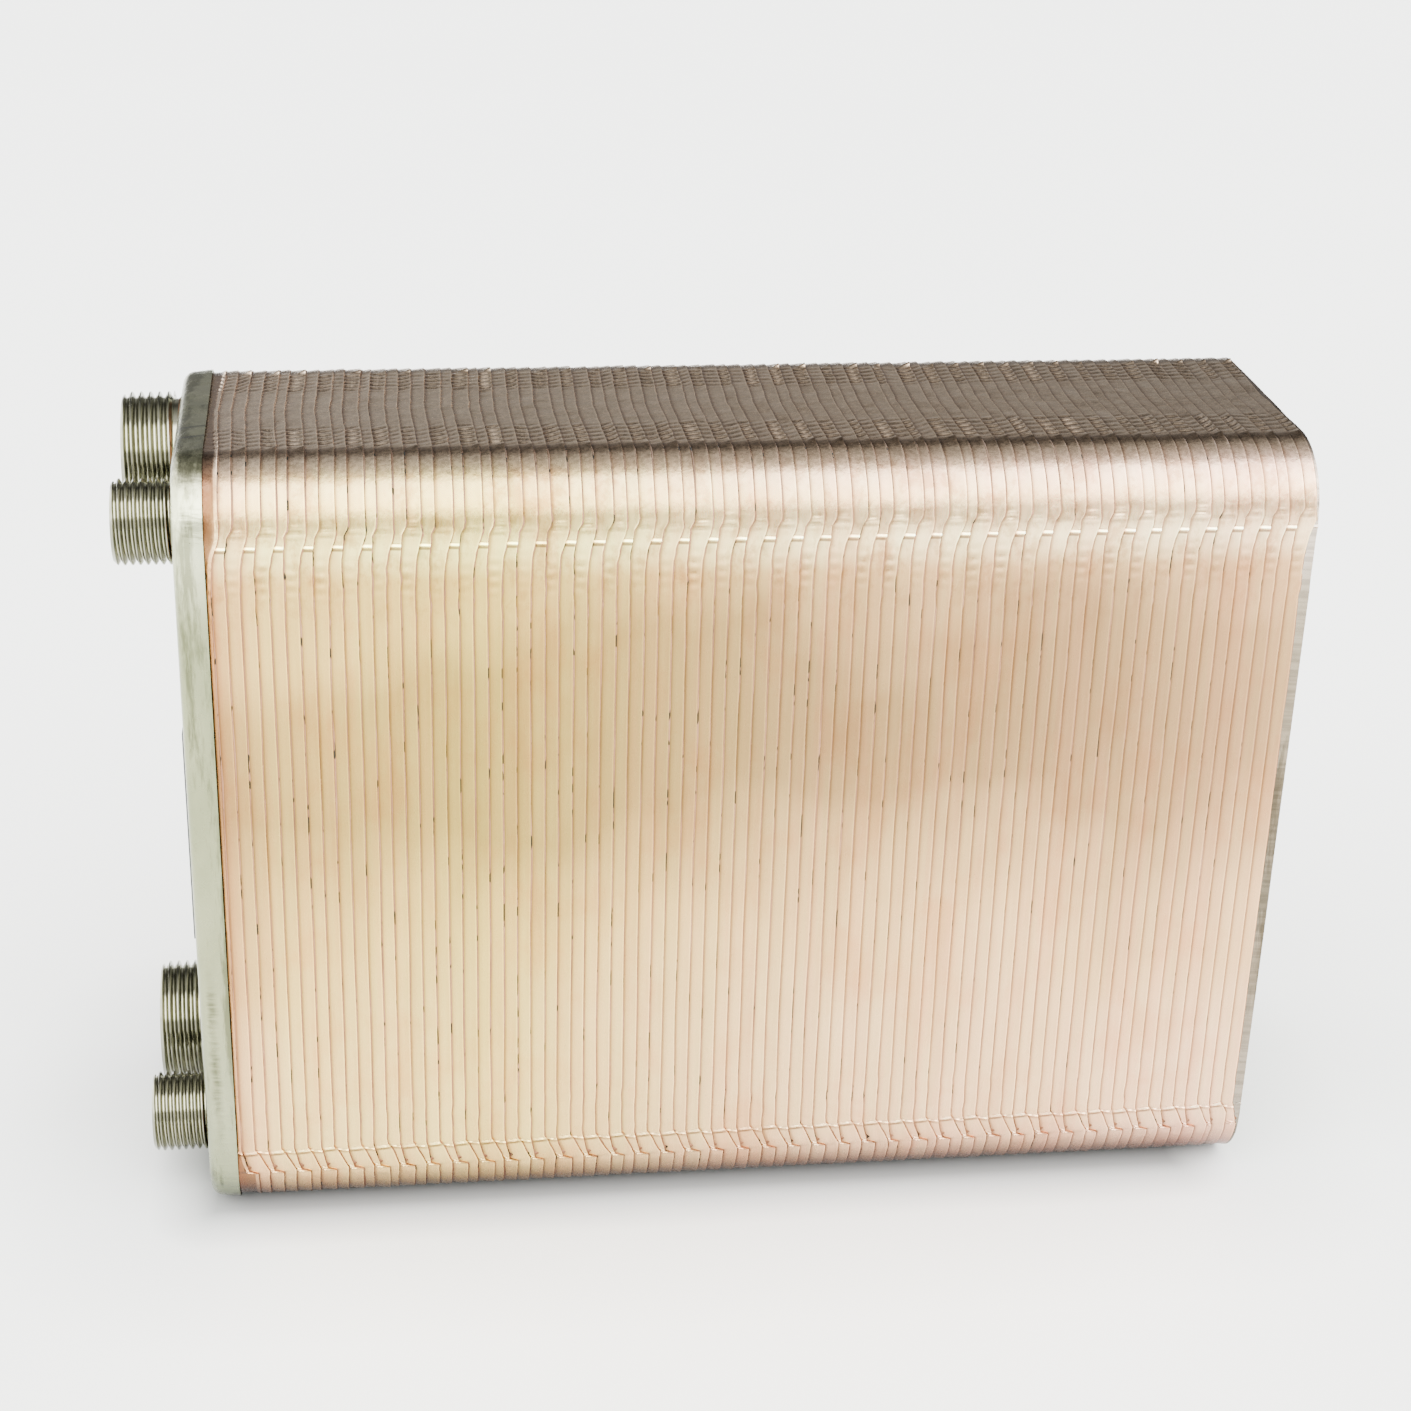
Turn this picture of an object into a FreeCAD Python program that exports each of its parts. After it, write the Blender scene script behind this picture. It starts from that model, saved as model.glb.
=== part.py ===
import FreeCAD
import Part
import math
import os
import Sketcher

# A brazed plate heat exchanger that stands on the short side of its plates.
# X runs along the stack (the connectors point to -X), Y across the plates and
# Z up. The origin is under the middle of the whole exchanger, on the surface
# that it stands on.

DIMENSIONS = [
    ("plate_length", 208, "height of a channel plate at the free edge of its skirt"),
    ("plate_width", 94, "width of a channel plate at the free edge of its skirt"),
    ("corner_radius", 18.3, "corner of a channel plate at the free edge of its skirt"),
    ("plate_pitch", 3.41, "distance from one plate to the next"),
    ("skirt_depth", 7, "depth of a pressed tray, base to free edge"),
    ("sheet_gauge", 0.35, "thickness of a channel plate"),
    ("nest_gap", 0.03, "room for the copper film between nested plates"),
    ("pair_count", 39, "channel plates come in pairs, one of each turned round"),
    ("port_spread_up", 168, "distance between upper and lower port centres"),
    ("port_spread_across", 46, "distance between near and far port centres"),
    ("port_hole_radius", 12.8, "holes through the plates"),
    ("collar_radius", 15.6, "pressed collar that seals a port from a channel"),
    ("ridge_count", 9, "chevron ridges on a channel plate"),
    ("ridge_spacing", 12.5, "distance from one ridge to the next"),
    ("ridge_reach", 37, "how far each arm of a ridge runs from the middle"),
    ("ridge_lean", 25, "slope of the arms of a ridge, degrees"),
    ("ridge_foot", 8, "width of a ridge where it leaves the base"),
    ("ridge_crest", 3, "width of the flat crest of a ridge"),
    ("cover_depth", 7.5, "depth of the front cover tray"),
    ("cover_gauge", 0.4, "thickness of the cover trays"),
    ("cover_bend", 3, "outside bend of the front cover"),
    ("seam_lead", 1, "from the edge of the front cover to the edge of the sealing plate"),
    ("seal_depth", 4, "depth of the front sealing plate"),
    ("rear_frame_gauge", 2, "thickness of the flat rear frame plate"),
    ("port_reach", 15, "how far a connector stands out of the front cover"),
    ("tip_chamfer", 1, "chamfer at the open end of a connector"),
    ("flange_gauge", 1.5, "thickness of the flange behind the front cover"),
    ("thread_flat", 0.25, "width of the flat on a thread crest"),
    ("small_thread_radius", 10.4775, "major radius of the near connectors' G 1/2 thread"),
    ("small_thread_pitch", 1.8143, "pitch of the G 1/2 thread"),
    ("small_thread_depth", 1.162, "depth of the G 1/2 thread form"),
    ("small_thread_turns", 8, "turns of thread on a near connector"),
    ("small_neck_radius", 9.2, "plain neck behind the thread"),
    ("small_bore_radius", 7.5, "bore of a near connector"),
    ("small_flange_radius", 13, "flange of a near connector"),
    ("large_thread_radius", 16.6245, "major radius of the far connectors' G 1 thread"),
    ("large_thread_pitch", 2.3091, "pitch of the G 1 thread"),
    ("large_thread_depth", 1.479, "depth of the G 1 thread form"),
    ("large_thread_turns", 6, "turns of thread on a far connector"),
    ("large_neck_radius", 14.8, "plain neck behind the thread"),
    ("large_bore_radius", 12.5, "bore of a far connector"),
    ("large_flange_radius", 15.8, "flange of a far connector"),
    ("fillet_height", 0.9, "copper fillet where a connector leaves the cover"),
    ("seam_length", 0.5, "copper bead along the edge of a skirt"),
    ("seam_height", 0.24, "how far the copper bead stands off the skirt"),
    ("label_width", 82, "blank rating plate on the front cover"),
    ("label_length", 57, "height of the rating plate"),
    ("label_gauge", 0.5, "thickness of the rating plate"),
    ("label_rise", 111.5, "height of the middle of the rating plate"),
]

doc = FreeCAD.newDocument("plate_heat_exchanger")
V = FreeCAD.Vector

# sketch X runs along +Y, sketch Y along +Z and the normal along +X
FACING_X = FreeCAD.Rotation(V(0, 1, 0), V(0, 0, 1), V(1, 0, 0), "ZXY")
# sketch X runs along +X, sketch Y along +Z and the normal along -Y
FACING_Y = FreeCAD.Rotation(V(1, 0, 0), V(0, 0, 1), V(0, -1, 0), "ZXY")
OVERCUT = 1

# Which side of the middle each port is on, across the plates and up them.
PORTS = {
    "upper_near": (-1, 1),
    "upper_far": (1, 1),
    "lower_near": (-1, -1),
    "lower_far": (1, -1),
}
# The size of the connector at a port, from the side that the port is on.
SIZES = {-1: "small", 1: "large"}

# Slope that lets each skirt lie inside the one in front of it.
FLARE = "asin((dims.sheet_gauge + dims.nest_gap) / dims.plate_pitch)"
# A skirt's wall measured across the stack instead of square to the sheet.
WALL = f"(dims.sheet_gauge / cos({FLARE}))"
COVER_WALL = f"(dims.cover_gauge / cos({FLARE}))"
# The front cover's edge stands this far outside the edges of the plates.
PROUD = f"((dims.cover_gauge + dims.nest_gap) / cos({FLARE}) - dims.seam_lead * tan({FLARE}))"
MID_Z = f"(dims.plate_length / 2 + {PROUD})"
# The front cover's skirt ends here, and the rear cover's after one pitch for each
# channel plate and one more.
STACK_X = (
    "((dims.port_reach + dims.cover_depth"
    " - (2 * dims.pair_count + 1) * dims.plate_pitch) / 2)"
)
# The sealing plate's skirt ends here; the edge of channel plate n is n pitches on.
SEAM_X = f"({STACK_X} + dims.seam_lead)"
FIRST_BASE_X = f"({SEAM_X} + dims.plate_pitch - dims.skirt_depth)"
REAR_BASE_X = f"({FIRST_BASE_X} + 2 * dims.pair_count * dims.plate_pitch)"
COVER_FACE_X = f"({STACK_X} - dims.cover_depth)"


def add_dimensions():
    sheet = doc.addObject("Spreadsheet::Sheet", "dims")
    for row, (alias, value, note) in enumerate(DIMENSIONS, start=1):
        sheet.set(f"A{row}", str(value))
        sheet.setAlias(f"A{row}", alias)
        sheet.set(f"B{row}", note)
    doc.recompute()
    return sheet


def bind(thing, **expressions):
    """Ties properties of an object to the sheet; __ in a name stands for a dot."""
    for name, expression in expressions.items():
        thing.setExpression(name.replace("__", "."), expression)


def shrunk(size, amount):
    return f"({size} - 2 * ({amount}))"


# ---------------------------------------------------------------- sketches


def rounded_outline(sketch, width, length, radius):
    """A rounded rectangle about the sketch's origin; the sizes are expressions.

    It is drawn roughly first, and the constraints then bring it to size.
    """
    half_w, half_l, r = 40.0, 100.0, 15.0
    quarter = math.pi / 2
    lines = [
        (V(r - half_w, -half_l, 0), V(half_w - r, -half_l, 0)),
        (V(half_w, r - half_l, 0), V(half_w, half_l - r, 0)),
        (V(half_w - r, half_l, 0), V(r - half_w, half_l, 0)),
        (V(-half_w, half_l - r, 0), V(-half_w, r - half_l, 0)),
    ]
    for start, end in lines:
        sketch.addGeometry(Part.LineSegment(start, end))
    corners = [(1, -1, 3), (1, 1, 0), (-1, 1, 1), (-1, -1, 2)]
    for side, level, turn in corners:
        centre = V(side * (half_w - r), level * (half_l - r), 0)
        circle = Part.Circle(centre, V(0, 0, 1), r)
        sketch.addGeometry(Part.ArcOfCircle(circle, turn * quarter, (turn + 1) * quarter))
    for n in range(4):
        corner = 4 + n
        sketch.addConstraint(Sketcher.Constraint("Tangent", n, 2, corner, 1))
        sketch.addConstraint(Sketcher.Constraint("Tangent", corner, 2, (n + 1) % 4, 1))
        kind = "Horizontal" if n % 2 == 0 else "Vertical"
        sketch.addConstraint(Sketcher.Constraint(kind, n))
    for corner in (5, 6, 7):
        sketch.addConstraint(Sketcher.Constraint("Equal", 4, corner))
    tie(sketch, Sketcher.Constraint("Radius", 4, r), "corner", radius)
    tie(sketch, Sketcher.Constraint("DistanceX", -1, 1, 1, 1, half_w), "right", f"{width} / 2")
    tie(sketch, Sketcher.Constraint("DistanceX", 3, 1, -1, 1, half_w), "left", f"{width} / 2")
    tie(sketch, Sketcher.Constraint("DistanceY", -1, 1, 2, 1, half_l), "top", f"{length} / 2")
    tie(sketch, Sketcher.Constraint("DistanceY", 0, 1, -1, 1, half_l), "bottom", f"{length} / 2")


def tie(sketch, constraint, name, expression):
    """Adds a named constraint whose value is an expression."""
    index = sketch.addConstraint(constraint)
    sketch.renameConstraint(index, name)
    sketch.setExpression(f"Constraints.{name}", expression)


def polygon(sketch, corners):
    """A closed polygon of ((x, y), (x expression, y expression)) corners.

    Each corner is held by its distances from the sketch's origin, whose signs
    the rough places give.
    """
    count = len(corners)
    first = sketch.GeometryCount
    for n in range(count):
        start = V(*corners[n][0], 0)
        end = V(*corners[(n + 1) % count][0], 0)
        sketch.addGeometry(Part.LineSegment(start, end))
    for n in range(count):
        here = first + n
        after = first + (n + 1) % count
        sketch.addConstraint(Sketcher.Constraint("Coincident", here, 2, after, 1))
        for axis, rough, expression in zip("XY", *corners[n]):
            name = f"{axis.lower()}_{here}"
            if abs(rough) < 1e-9:
                kind = Sketcher.Constraint("PointOnObject", here, 1, -2 if axis == "X" else -1)
                sketch.addConstraint(kind)
            elif rough > 0:
                kind = Sketcher.Constraint(f"Distance{axis}", -1, 1, here, 1, rough)
                tie(sketch, kind, name, expression)
            else:
                kind = Sketcher.Constraint(f"Distance{axis}", here, 1, -1, 1, -rough)
                tie(sketch, kind, name, f"-({expression})")


def circles(sketch, name, clearance="0"):
    """A circle at each port centre, of the named radius of that port's connector."""
    rough_y, rough_z, rough_radius = 30, 80, 5
    for n, (side, level) in enumerate(PORTS.values()):
        centre = V(side * rough_y, level * rough_z, 0)
        index = sketch.addGeometry(Part.Circle(centre, V(0, 0, 1), rough_radius))
        across = (-1, 1, index, 3) if side > 0 else (index, 3, -1, 1)
        upward = (-1, 1, index, 3) if level > 0 else (index, 3, -1, 1)
        round_size = Sketcher.Constraint("Radius", index, rough_radius)
        to_side = Sketcher.Constraint("DistanceX", *across, rough_y)
        to_level = Sketcher.Constraint("DistanceY", *upward, rough_z)
        tie(sketch, round_size, f"radius_{n}", f"dims.{SIZES[side]}_{name} + {clearance}")
        tie(sketch, to_side, f"across_{n}", "dims.port_spread_across / 2")
        tie(sketch, to_level, f"upward_{n}", "dims.port_spread_up / 2")


def free_sketch(name, rotation, x_expression="0"):
    sketch = doc.addObject("Sketcher::SketchObject", name)
    sketch.Placement = FreeCAD.Placement(V(0, 0, 0), rotation)
    bind(sketch, Placement__Base__x=x_expression)
    return sketch


def body_sketch(body, name, role, offset="0"):
    """A sketch on one of a body's own origin planes, moved along its normal."""
    sketch = body.newObject("Sketcher::SketchObject", name)
    plane = next(f for f in body.Origin.OriginFeatures if f.Role == role)
    sketch.AttachmentSupport = [(plane, "")]
    sketch.MapMode = "FlatFace"
    bind(sketch, AttachmentOffset__Base__z=offset)
    return sketch


def origin_axis(body, role):
    return next(f for f in body.Origin.OriginFeatures if f.Role == role)


# ---------------------------------------------------------------- trays


def flared_block(name, start, depth, edge_inset):
    """A solid that widens from start with the flare of the skirts.

    edge_inset is how far its side lies inside the plate edge at skirt_depth.
    """
    inset = f"({edge_inset} + (dims.skirt_depth - ({start})) * tan({FLARE}))"
    sketch = free_sketch(name + "_outline", FACING_X, start)
    rounded_outline(
        sketch,
        shrunk("dims.plate_width", inset),
        shrunk("dims.plate_length", inset),
        f"dims.corner_radius - {inset}",
    )
    block = doc.addObject("Part::Extrusion", name)
    block.Base = sketch
    block.DirMode = "Custom"
    block.Dir = V(1, 0, 0)
    block.Solid = True
    bind(block, LengthFwd=depth, TaperAngle=FLARE)
    return block


def ridge_arm(name, side, start, rise, foot, crest):
    """One arm of a chevron ridge, from the middle of the plate down to one side."""
    sketch = free_sketch(name + "_section", FACING_Y)
    tip = f"({start} + {rise})"
    rough_start = 0 if start == "0" else -1
    polygon(
        sketch,
        [
            ((rough_start, -4), (start, f"-{foot} / 2")),
            ((3, -1.5), (tip, f"-{crest} / 2")),
            ((3, 1.5), (tip, f"{crest} / 2")),
            ((rough_start, 4), (start, f"{foot} / 2")),
        ],
    )
    arm = doc.addObject("Part::Extrusion", name)
    arm.Base = sketch
    arm.DirMode = "Custom"
    arm.Solid = True
    bind(
        arm,
        Dir__x="0",
        Dir__y=f"{side} * cos(dims.ridge_lean * 1 deg)",
        Dir__z="-sin(dims.ridge_lean * 1 deg)",
        LengthFwd="dims.ridge_reach / cos(dims.ridge_lean * 1 deg)",
    )
    return arm


def chevrons(name, start, rise, foot, crest):
    """All the chevron ridges of a plate, as solids that meet at its middle."""
    arms = []
    for side in (-1, 1):
        arms.append(ridge_arm(f"{name}_arm_{side + 1}", side, start, rise, foot, crest))
    ridge = doc.addObject("Part::Fuse", name)
    ridge.Base = arms[0]
    ridge.Tool = arms[1]
    rows = []
    drop = "dims.ridge_reach * tan(dims.ridge_lean * 1 deg) / 2"
    for n in range(int(dims.ridge_count)):
        row = doc.addObject("Part::Compound", f"{name}_row_{n}")
        row.Links = [ridge]
        place = f"({n} - (dims.ridge_count - 1) / 2) * dims.ridge_spacing + {drop}"
        bind(row, Placement__Base__z=place)
        rows.append(row)
    return rows


def port_cylinder(name, port, start, height, radius):
    side, level = PORTS[port]
    cylinder = doc.addObject("Part::Cylinder", name)
    cylinder.Placement = FreeCAD.Placement(V(0, 0, 0), FreeCAD.Rotation(V(0, 1, 0), 90))
    bind(
        cylinder,
        Radius=radius,
        Height=height,
        Placement__Base__x=start,
        Placement__Base__y=f"{side} * dims.port_spread_across / 2",
        Placement__Base__z=f"{level} * dims.port_spread_up / 2",
    )
    return cylinder


def channel_plate():
    """A pressed channel plate with its base at x = 0 and its skirt towards +X.

    Chevron ridges and the collars of the two near ports rise to the next plate.
    The other two ports are open to the channel on this side of the plate.
    """
    rise = "(dims.plate_pitch - dims.nest_gap)"
    hollow_rise = f"({rise} - dims.sheet_gauge)"
    outer = flared_block("tray_outside", "0", "dims.skirt_depth", "0")
    inner = flared_block("tray_inside", "dims.sheet_gauge", "dims.skirt_depth", WALL)
    tray = doc.addObject("Part::Cut", "tray")
    tray.Base = outer
    tray.Tool = inner

    raised = chevrons("ridge", "0", rise, "dims.ridge_foot", "dims.ridge_crest")
    narrower = "(2 * dims.sheet_gauge)"
    spread = f"({OVERCUT} * (dims.ridge_foot - dims.ridge_crest) / {hollow_rise})"
    foot = f"(dims.ridge_foot - {narrower} + {spread})"
    crest = f"(dims.ridge_crest - {narrower})"
    start, height = f"-{OVERCUT}", f"({hollow_rise} + {OVERCUT})"
    hollows = chevrons("ridge_hollow", start, height, foot, crest)
    near = [port for port, (side, level) in PORTS.items() if side < 0]
    for port in near:
        raised.append(port_cylinder(f"collar_{port}", port, "0", rise, "dims.collar_radius"))
        hollow = port_cylinder(
            f"collar_hollow_{port}",
            port,
            f"-{OVERCUT}",
            f"{hollow_rise} + {OVERCUT}",
            "dims.collar_radius - dims.sheet_gauge",
        )
        hollows.append(hollow)
    for port in PORTS:
        hole = port_cylinder(
            f"hole_{port}",
            port,
            f"-{OVERCUT}",
            f"dims.plate_pitch + 2 * {OVERCUT}",
            "dims.port_hole_radius",
        )
        hollows.append(hole)

    pressed = doc.addObject("Part::MultiFuse", "pressed_plate")
    pressed.Shapes = [tray, *raised]
    away = doc.addObject("Part::Compound", "pressed_hollows")
    away.Links = hollows
    plate = doc.addObject("Part::Cut", "channel_plate")
    plate.Base = pressed
    plate.Tool = away
    return plate


def placed(name, source, x="0", y="0", z="0", turn=0):
    """A sub-part that repeats source at its own place, turned about the X axis."""
    copy = doc.addObject("Part::Compound", name)
    copy.Links = source if isinstance(source, list) else [source]
    copy.Placement = FreeCAD.Placement(V(0, 0, 0), FreeCAD.Rotation(V(1, 0, 0), turn))
    bind(copy, Placement__Base__x=x, Placement__Base__y=y, Placement__Base__z=z)
    return copy


def channel_pairs():
    """The channel plates, in pairs: one as pressed and the next turned half round."""
    plate = channel_plate()
    turned = placed("turned_plate", plate, x="dims.plate_pitch", turn=180)
    pairs = []
    for n in range(int(dims.pair_count)):
        place = f"{FIRST_BASE_X} + {2 * n} * dims.plate_pitch"
        pairs.append(placed(f"channel_pair_{n + 1:02d}", [plate, turned], x=place, z=MID_Z))
    return pairs


# ---------------------------------------------------------------- covers


def cut_holes(body, name, size, depth, clearance="0"):
    """Pockets of a size of the connectors, one per port, from a body's own x = 0."""
    sketch = body_sketch(body, name + "_circles", "YZ_Plane")
    circles(sketch, size, clearance)
    pocket = body.newObject("PartDesign::Pocket", name)
    pocket.Profile = sketch
    pocket.Reversed = True
    bind(pocket, Length=depth)
    return pocket


def bent_block(name, start, inset, bend):
    """A flared block, as deep as the front cover, with its front edge bent round.

    inset is how far its side lies inside the front cover's edge.
    """
    body = doc.addObject("PartDesign::Body", name)
    depth = f"(dims.cover_depth - {start})"
    side = f"({inset} - {PROUD} + {depth} * tan({FLARE}))"
    sketch = body_sketch(body, f"{name}_outline", "YZ_Plane", start)
    rounded_outline(
        sketch,
        shrunk("dims.plate_width", side),
        shrunk("dims.plate_length", side),
        f"dims.corner_radius - {side}",
    )
    pad = body.newObject("PartDesign::Pad", f"{name}_pad")
    pad.Profile = sketch
    bind(pad, Length=depth, TaperAngle=FLARE)
    doc.recompute()
    fillet = body.newObject("PartDesign::Fillet", f"{name}_bend")
    fillet.Base = (pad, [face_at(pad.Shape, pad.Shape.BoundBox.XMin)])
    bind(fillet, Radius=bend)
    return body


def front_cover():
    """The front cover tray, outer face at its own x = 0, with four port holes."""
    outer = bent_block("cover_outside", "0", "0", "dims.cover_bend")
    gauge = "dims.cover_gauge"
    inner = bent_block("cover_inside", gauge, COVER_WALL, f"dims.cover_bend - {gauge}")
    away = [inner]
    for port in PORTS:
        reach = f"{gauge} + 2 * {OVERCUT}"
        name = f"cover_hole_{port}"
        neck = f"dims.{SIZES[PORTS[port][0]]}_neck_radius"
        away.append(port_cylinder(name, port, f"-{OVERCUT}", reach, neck))
    hollow = doc.addObject("Part::Compound", "cover_hollow")
    hollow.Links = away
    cover = doc.addObject("Part::Cut", "front_cover")
    cover.Base = outer
    cover.Tool = hollow
    bind(cover, Placement__Base__x=COVER_FACE_X, Placement__Base__z=MID_Z)
    return cover


def face_at(shape, x):
    """The name of the flat face that squarely crosses the X axis at x."""
    for n, face in enumerate(shape.Faces, start=1):
        if abs(face.BoundBox.XMin - x) < 1e-6 and abs(face.BoundBox.XMax - x) < 1e-6:
            return f"Face{n}"
    raise RuntimeError(f"no flat face at x = {x}")


def front_frame_plate():
    """The thick plate behind the front cover, counterbored for the connector flanges."""
    body = doc.addObject("PartDesign::Body", "front_frame_plate")
    start_x = f"({COVER_FACE_X} + dims.cover_gauge + dims.nest_gap)"
    gauge = f"({SEAM_X} - dims.seal_depth - {start_x} - dims.nest_gap)"
    inset = f"(dims.cover_depth * tan({FLARE}) + dims.cover_bend - {PROUD})"
    sketch = body_sketch(body, "front_frame_outline", "YZ_Plane")
    rounded_outline(
        sketch,
        shrunk("dims.plate_width", inset),
        shrunk("dims.plate_length", inset),
        f"dims.corner_radius - {inset}",
    )
    pad = body.newObject("PartDesign::Pad", "front_frame_block")
    pad.Profile = sketch
    bind(pad, Length=gauge)
    doc.recompute()
    cut_holes(body, "front_frame_seats", "flange_radius", "dims.flange_gauge", "dims.nest_gap")
    cut_holes(body, "front_frame_holes", "bore_radius", gauge)
    bind(body, Placement__Base__x=start_x, Placement__Base__z=MID_Z)
    return body


def front_sealing_plate():
    """The plain shallow tray, with four port holes, that shuts the first channel."""
    start = "(dims.skirt_depth - dims.seal_depth)"
    outer = flared_block("seal_outside", start, "dims.seal_depth", "0")
    floor = f"({start} + dims.sheet_gauge)"
    away = [flared_block("seal_inside", floor, "dims.seal_depth", WALL)]
    for port in PORTS:
        name = f"seal_hole_{port}"
        away.append(port_cylinder(name, port, "0", "dims.skirt_depth", "dims.port_hole_radius"))
    hollow = doc.addObject("Part::Compound", "seal_hollow")
    hollow.Links = away
    plate = doc.addObject("Part::Cut", "front_sealing_plate")
    plate.Base = outer
    plate.Tool = hollow
    bind(plate, Placement__Base__x=f"{SEAM_X} - dims.skirt_depth", Placement__Base__z=MID_Z)
    return plate


def rear_cover():
    """The rear cover tray, nested in the last channel plate and closed over the ports."""
    depth = "(dims.skirt_depth - dims.seam_lead)"
    outer = flared_block("rear_outside", "0", depth, "0")
    inner = flared_block("rear_inside", "dims.cover_gauge", "dims.skirt_depth", COVER_WALL)
    cover = doc.addObject("Part::Cut", "rear_cover")
    cover.Base = outer
    cover.Tool = inner
    bind(cover, Placement__Base__x=REAR_BASE_X, Placement__Base__z=MID_Z)
    return cover


def rear_frame_plate():
    """The flat plate that stiffens the rear cover, seen inside its rim."""
    start = "(dims.cover_gauge + dims.nest_gap)"
    inset = f"({COVER_WALL} + (dims.skirt_depth - {start}) * tan({FLARE}) + dims.nest_gap)"
    body = doc.addObject("PartDesign::Body", "rear_frame_plate")
    sketch = body_sketch(body, "rear_frame_outline", "YZ_Plane")
    rounded_outline(
        sketch,
        shrunk("dims.plate_width", inset),
        shrunk("dims.plate_length", inset),
        f"dims.corner_radius - {inset}",
    )
    pad = body.newObject("PartDesign::Pad", "rear_frame_block")
    pad.Profile = sketch
    bind(pad, Length="dims.rear_frame_gauge")
    bind(body, Placement__Base__x=f"{REAR_BASE_X} + {start}", Placement__Base__z=MID_Z)
    return body


# ---------------------------------------------------------------- connectors


def connector(size):
    """A threaded connector on the X axis, open end towards -X, flange seat at x = 0.

    The front face of its flange bears on the inside of the front cover. A relief
    groove leads from the last turn of the thread to the flange.
    """
    bore, neck, major, flange, pitch, depth, turns = (
        f"dims.{size}_{name}"
        for name in (
            "bore_radius",
            "neck_radius",
            "thread_radius",
            "flange_radius",
            "thread_pitch",
            "thread_depth",
            "thread_turns",
        )
    )
    body = doc.addObject("PartDesign::Body", f"{size}_connector")
    sketch = body_sketch(body, f"{size}_profile", "XZ_Plane")
    tip = "-(dims.port_reach + dims.cover_gauge + dims.nest_gap)"
    first = f"({tip} + dims.tip_chamfer)"
    last = f"({first} + ({turns} - 1) * {pitch} + dims.thread_flat)"
    outline = [
        ((-16, 7), (tip, bore)),
        ((-16, 9), (tip, f"{major} - dims.tip_chamfer")),
        ((-15, 10), (first, major)),
        ((-3, 10), (last, major)),
        ((-3, 9), (last, neck)),
        ((0, 9), ("0", neck)),
        ((0, 13), ("0", flange)),
        ((2, 13), ("dims.flange_gauge", flange)),
        ((2, 7), ("dims.flange_gauge", bore)),
    ]
    polygon(sketch, outline)
    revolved(body, f"{size}_blank", "PartDesign::Revolution", sketch)

    notch = body_sketch(body, f"{size}_thread_section", "XZ_Plane")
    half = f"(({pitch} - dims.thread_flat) / 2)"
    middle = f"({first} + dims.thread_flat + {half})"
    over = 1.1
    mouth = f"({major} + ({over} - 1) * {depth})"
    polygon(
        notch,
        [
            ((-15, 10.6), (f"({middle} - {half} * {over})", mouth)),
            ((-14, 9.3), (middle, f"({major} - {depth})")),
            ((-13, 10.6), (f"({middle} + {half} * {over})", mouth)),
        ],
    )
    groove = revolved(body, f"{size}_thread_groove", "PartDesign::Groove", notch)
    thread = body.newObject("PartDesign::LinearPattern", f"{size}_thread")
    thread.Originals = [groove]
    thread.Direction = (origin_axis(body, "X_Axis"), [""])
    bind(thread, Occurrences=f"{turns} - 1", Length=f"({turns} - 2) * {pitch}")
    body.Tip = thread
    doc.recompute()
    return body


def revolved(body, name, kind, sketch):
    """A whole turn of a section round a body's own X axis."""
    feature = body.newObject(kind, name)
    feature.Profile = sketch
    feature.ReferenceAxis = (origin_axis(body, "X_Axis"), [""])
    feature.Angle = 360
    doc.recompute()
    return feature


def braze_fillet(size):
    """The copper fillet round a connector's neck, its foot on the cover at x = 0."""
    body = doc.addObject("PartDesign::Body", f"{size}_braze_fillet")
    sketch = body_sketch(body, f"{size}_braze_section", "XZ_Plane")
    inside = f"(dims.{size}_neck_radius + dims.nest_gap)"
    toe = "(dims.fillet_height / 5)"
    polygon(
        sketch,
        [
            ((0, 9.2), ("0", inside)),
            ((0, 10.1), ("0", f"({inside} + dims.fillet_height)")),
            ((-0.2, 10.1), (f"-{toe}", f"({inside} + dims.fillet_height)")),
            ((-0.9, 9.4), ("-dims.fillet_height", f"({inside} + {toe})")),
            ((-0.9, 9.2), ("-dims.fillet_height", inside)),
        ],
    )
    revolved(body, f"{size}_braze_ring", "PartDesign::Revolution", sketch)
    return body


def ports():
    """A connector and its braze fillet at each of the four ports."""
    threaded = {side: connector(size) for side, size in SIZES.items()}
    fillets = {side: braze_fillet(size) for side, size in SIZES.items()}
    seat_x = f"{COVER_FACE_X} + dims.cover_gauge + dims.nest_gap"
    foot_x = f"{COVER_FACE_X} - dims.nest_gap"
    pieces = []
    for port, (side, level) in PORTS.items():
        across = f"{side} * dims.port_spread_across / 2"
        upward = f"{MID_Z} + {level} * dims.port_spread_up / 2"
        pieces.append(placed(f"connector_{port}", threaded[side], seat_x, across, upward))
        pieces.append(placed(f"braze_fillet_{port}", fillets[side], foot_x, across, upward))
    return pieces


# ---------------------------------------------------------------- trim


def copper_seams():
    """A copper bead on the skirt of each plate, at the edge of the skirt outside it.

    Each bead starts at its own x = 0, level with that edge.
    """
    to_edge = f"(dims.plate_pitch - dims.skirt_depth) * tan({FLARE})"
    under = f"({to_edge} - dims.nest_gap)"
    over = f"({under} - dims.seam_height)"
    outer = flared_block("seam_outside", "dims.nest_gap", "dims.seam_length", over)
    inner = flared_block("seam_inside", "0", f"dims.seam_length + {OVERCUT}", under)
    seam = doc.addObject("Part::Cut", "copper_seam")
    seam.Base = outer
    seam.Tool = inner
    seams = []
    for n in range(2 * int(dims.pair_count) + 1):
        seams.append(placed(f"copper_seam_{n}", seam, x=f"{n} * dims.plate_pitch"))
    return placed("copper_seams", seams, x=SEAM_X, z=MID_Z)


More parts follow.
